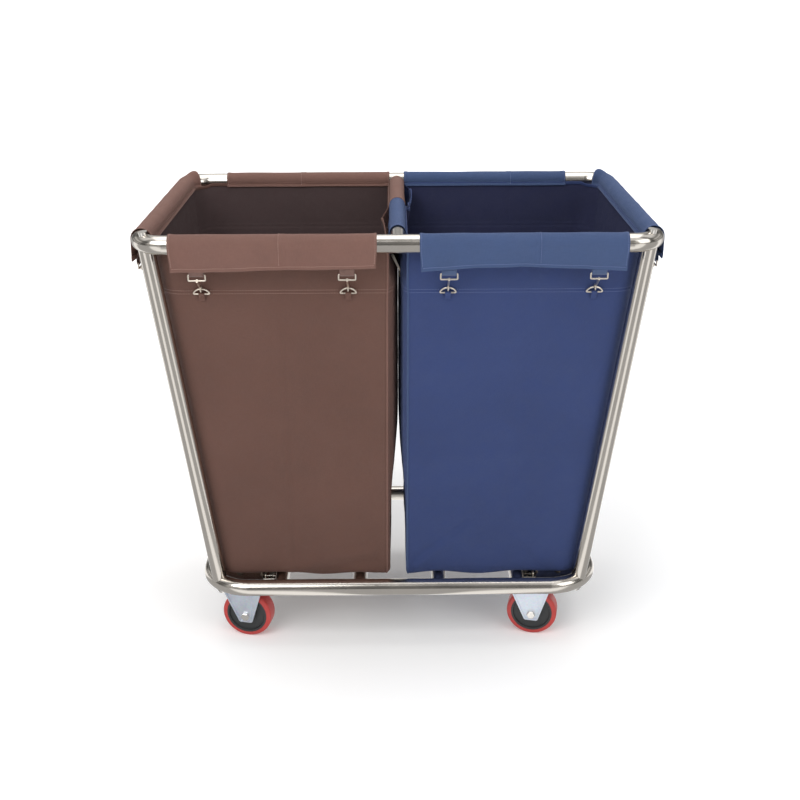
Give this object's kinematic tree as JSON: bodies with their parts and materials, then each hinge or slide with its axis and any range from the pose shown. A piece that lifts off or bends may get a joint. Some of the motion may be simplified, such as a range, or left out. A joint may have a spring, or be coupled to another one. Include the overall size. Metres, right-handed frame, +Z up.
{
  "type": "linen trolley",
  "caption": "Two-bag linen trolley: tapered polished tube frame, brown and blue canvas bags hooked over the top rails, swivel casters with red treads.",
  "frame": {"origin": "on the floor, below the middle of the frame", "axes": "+Z up, X along the length with the blue bag on +X, Y along the depth with the front on -Y"},
  "size_m": [0.9038, 0.5698, 0.8599],
  "materials": {
    "polished_stainless": "polished",
    "bright_fastener": "satin",
    "plain_steel": "satin",
    "zinc_plate": "satin",
    "nickel_wire": "polished",
    "black_core": "matte",
    "red_tread": "satin",
    "brown_canvas": "matte",
    "brown_webbing": "matte",
    "blue_canvas": "matte",
    "blue_webbing": "matte"
  },
  "bodies": {
    "frame": {"top_loop": "polished_stainless", "bottom_loop": "polished_stainless", "centre_crossbar": "polished_stainless", "post_front_left": "polished_stainless", "post_front_right": "polished_stainless", "post_rear_left": "polished_stainless", "post_rear_right": "polished_stainless", "base_bar_1": "polished_stainless", "base_bar_2": "polished_stainless", "base_bar_3": "polished_stainless", "base_bar_4": "polished_stainless", "post_plugs": "plain_steel", "top_bolts": "bright_fastener", "bottom_bolts": "bright_fastener", "bottom_washers": "bright_fastener", "corner_plate_front_left": "polished_stainless", "corner_plate_front_right": "polished_stainless", "corner_plate_rear_left": "polished_stainless", "corner_plate_rear_right": "polished_stainless", "caster_plate_front_left": "zinc_plate", "caster_plate_front_right": "zinc_plate", "caster_plate_rear_left": "zinc_plate", "caster_plate_rear_right": "zinc_plate", "kingpins": "zinc_plate", "swivel_balls": "plain_steel", "caster_bolts": "bright_fastener", "caster_nuts": "bright_fastener", "brown_bag": "brown_canvas", "brown_flaps": "brown_canvas", "brown_straps": "brown_webbing", "blue_bag": "blue_canvas", "blue_flaps": "blue_canvas", "blue_straps": "blue_webbing", "snap_hooks": "nickel_wire", "d_rings": "nickel_wire", "tie_loops": "polished_stainless"},
    "swivel_front_left": {"fork_front_left": "zinc_plate", "axle_bolt_front_left": "bright_fastener", "axle_nut_front_left": "bright_fastener"},
    "wheel_front_left": {"wheel_core_front_left": "black_core", "wheel_tread_front_left": "red_tread", "wheel_bearings_front_left": "plain_steel"},
    "swivel_front_right": {"fork_front_right": "zinc_plate", "axle_bolt_front_right": "bright_fastener", "axle_nut_front_right": "bright_fastener"},
    "wheel_front_right": {"wheel_core_front_right": "black_core", "wheel_tread_front_right": "red_tread", "wheel_bearings_front_right": "plain_steel"},
    "swivel_rear_left": {"fork_rear_left": "zinc_plate", "axle_bolt_rear_left": "bright_fastener", "axle_nut_rear_left": "bright_fastener"},
    "wheel_rear_left": {"wheel_core_rear_left": "black_core", "wheel_tread_rear_left": "red_tread", "wheel_bearings_rear_left": "plain_steel"},
    "swivel_rear_right": {"fork_rear_right": "zinc_plate", "axle_bolt_rear_right": "bright_fastener", "axle_nut_rear_right": "bright_fastener"},
    "wheel_rear_right": {"wheel_core_rear_right": "black_core", "wheel_tread_rear_right": "red_tread", "wheel_bearings_rear_right": "plain_steel"}
  },
  "joints": [
    {"name": "front_left_swivel", "type": "hinge", "parent": "frame", "child": "swivel_front_left", "pos_m": [-0.286, -0.141, 0.106], "axis": [0, 0, 1], "continuous": true},
    {"name": "front_right_swivel", "type": "hinge", "parent": "frame", "child": "swivel_front_right", "pos_m": [0.286, -0.141, 0.106], "axis": [0, 0, 1], "continuous": true},
    {"name": "rear_left_swivel", "type": "hinge", "parent": "frame", "child": "swivel_rear_left", "pos_m": [-0.286, 0.141, 0.106], "axis": [0, 0, 1], "continuous": true},
    {"name": "rear_right_swivel", "type": "hinge", "parent": "frame", "child": "swivel_rear_right", "pos_m": [0.286, 0.141, 0.106], "axis": [0, 0, 1], "continuous": true},
    {"name": "front_left_wheel_spin", "type": "hinge", "parent": "swivel_front_left", "child": "wheel_front_left", "pos_m": [-0.30361, -0.13726, 0.05], "axis": [0.2079, 0.9781, 0], "continuous": true},
    {"name": "front_right_wheel_spin", "type": "hinge", "parent": "swivel_front_right", "child": "wheel_front_right", "pos_m": [0.26839, -0.13726, 0.05], "axis": [0.2079, 0.9781, 0], "continuous": true},
    {"name": "rear_left_wheel_spin", "type": "hinge", "parent": "swivel_rear_left", "child": "wheel_rear_left", "pos_m": [-0.30361, 0.14474, 0.05], "axis": [0.2079, 0.9781, 0], "continuous": true},
    {"name": "rear_right_wheel_spin", "type": "hinge", "parent": "swivel_rear_right", "child": "wheel_rear_right", "pos_m": [0.26839, 0.14474, 0.05], "axis": [0.2079, 0.9781, 0], "continuous": true}
  ]
}
